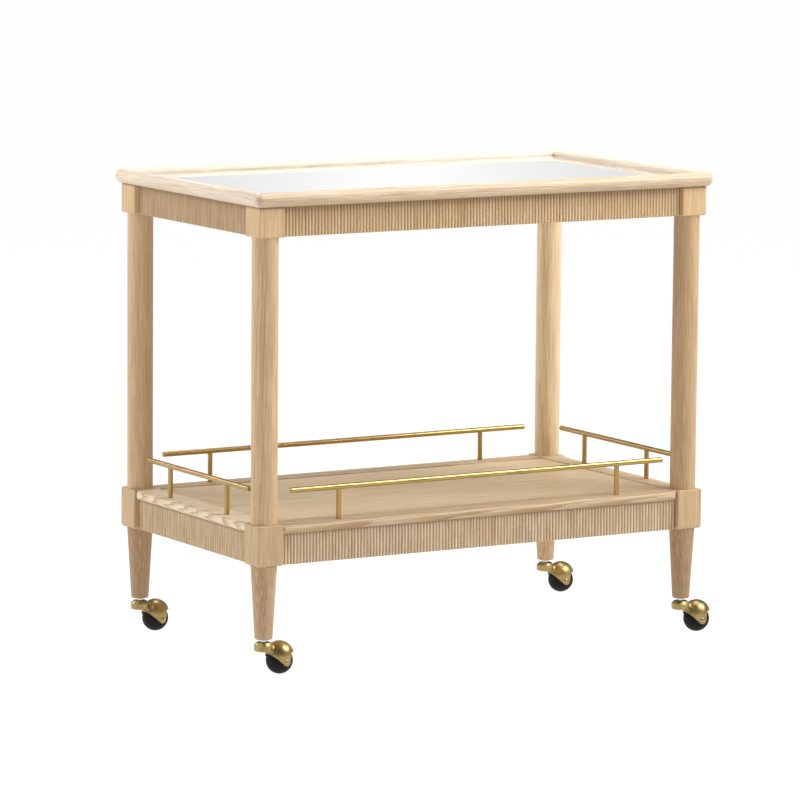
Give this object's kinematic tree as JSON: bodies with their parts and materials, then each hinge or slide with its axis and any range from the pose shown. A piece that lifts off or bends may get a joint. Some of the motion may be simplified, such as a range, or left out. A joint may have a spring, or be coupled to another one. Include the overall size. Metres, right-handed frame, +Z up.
{
  "type": "bar cart",
  "caption": "Rectangular wooden bar cart: mirrored tray top, round posts, reeded aprons, lower shelf with brass gallery rails, tapered feet on swivelling brass-hooded ball casters.",
  "frame": {"origin": "on the floor under the middle of the tray", "axes": "+X to the right along the long side, +Y to the back, +Z up"},
  "size_m": [0.9611, 0.5334, 0.8407],
  "materials": {
    "ash": "pale cerused ash, open grain filled with white, satin",
    "mirror": "silvered flat glass",
    "board": "plain fibreboard",
    "brass": "polished, slightly aged",
    "ball": "hard black, smooth",
    "steel": "bright zinc plated",
    "washer": "black nylon"
  },
  "bodies": {
    "cart": {"tray_rail_front": "ash", "top_apron_front": "ash", "shelf_rail_front": "ash", "lower_apron_front": "ash", "gallery_bar_front": "brass", "gallery_posts_front": "brass", "tray_rail_right": "ash", "top_apron_right": "ash", "shelf_rail_right": "ash", "lower_apron_right": "ash", "gallery_bar_right": "brass", "gallery_posts_right": "brass", "tray_rail_back": "ash", "top_apron_back": "ash", "shelf_rail_back": "ash", "lower_apron_back": "ash", "gallery_bar_back": "brass", "gallery_posts_back": "brass", "tray_rail_left": "ash", "top_apron_left": "ash", "shelf_rail_left": "ash", "lower_apron_left": "ash", "gallery_bar_left": "brass", "gallery_posts_left": "brass", "top_block_front_left": "ash", "post_front_left": "ash", "lower_block_front_left": "ash", "foot_front_left": "ash", "top_block_front_right": "ash", "post_front_right": "ash", "lower_block_front_right": "ash", "foot_front_right": "ash", "top_block_back_right": "ash", "post_back_right": "ash", "lower_block_back_right": "ash", "foot_back_right": "ash", "top_block_back_left": "ash", "post_back_left": "ash", "lower_block_back_left": "ash", "foot_back_left": "ash", "shelf_panel": "ash", "mirror_panel": "mirror", "mirror_backing_board": "board", "gallery_studs": "steel", "leg_studs": "steel", "caster_stems": "steel", "stem_washers": "washer", "stem_inserts": "brass"},
    "caster_front_left": {"caster_hood_front_left": "brass", "caster_axle_front_left": "brass"},
    "ball_front_left": {"caster_wheel_front_left": "ball"},
    "caster_front_right": {"caster_hood_front_right": "brass", "caster_axle_front_right": "brass"},
    "ball_front_right": {"caster_wheel_front_right": "ball"},
    "caster_back_right": {"caster_hood_back_right": "brass", "caster_axle_back_right": "brass"},
    "ball_back_right": {"caster_wheel_back_right": "ball"},
    "caster_back_left": {"caster_hood_back_left": "brass", "caster_axle_back_left": "brass"},
    "ball_back_left": {"caster_wheel_back_left": "ball"}
  },
  "joints": [
    {"name": "swivel_front_left", "type": "hinge", "parent": "cart", "child": "caster_front_left", "pos_m": [-0.4335, -0.2303, 0.05], "axis": [0, 0, 1], "continuous": true},
    {"name": "roll_front_left", "type": "hinge", "parent": "caster_front_left", "child": "ball_front_left", "pos_m": [-0.4004, -0.2277, 0.0237], "axis": [-0.0785, 0.9969, 0], "continuous": true},
    {"name": "swivel_front_right", "type": "hinge", "parent": "cart", "child": "caster_front_right", "pos_m": [0.4335, -0.2303, 0.05], "axis": [0, 0, 1], "continuous": true},
    {"name": "roll_front_right", "type": "hinge", "parent": "caster_front_right", "child": "ball_front_right", "pos_m": [0.46657, -0.23319, 0.0237], "axis": [0.0872, 0.9962, 0], "continuous": true},
    {"name": "swivel_back_right", "type": "hinge", "parent": "cart", "child": "caster_back_right", "pos_m": [0.4335, 0.2303, 0.05], "axis": [0, 0, 1], "continuous": true},
    {"name": "roll_back_right", "type": "hinge", "parent": "caster_back_right", "child": "ball_back_right", "pos_m": [0.46657, 0.22741, 0.0237], "axis": [0.0872, 0.9962, 0], "continuous": true},
    {"name": "swivel_back_left", "type": "hinge", "parent": "cart", "child": "caster_back_left", "pos_m": [-0.4335, 0.2303, 0.05], "axis": [0, 0, 1], "continuous": true},
    {"name": "roll_back_left", "type": "hinge", "parent": "caster_back_left", "child": "ball_back_left", "pos_m": [-0.40048, 0.23377, 0.0237], "axis": [-0.1045, 0.9945, 0], "continuous": true}
  ]
}
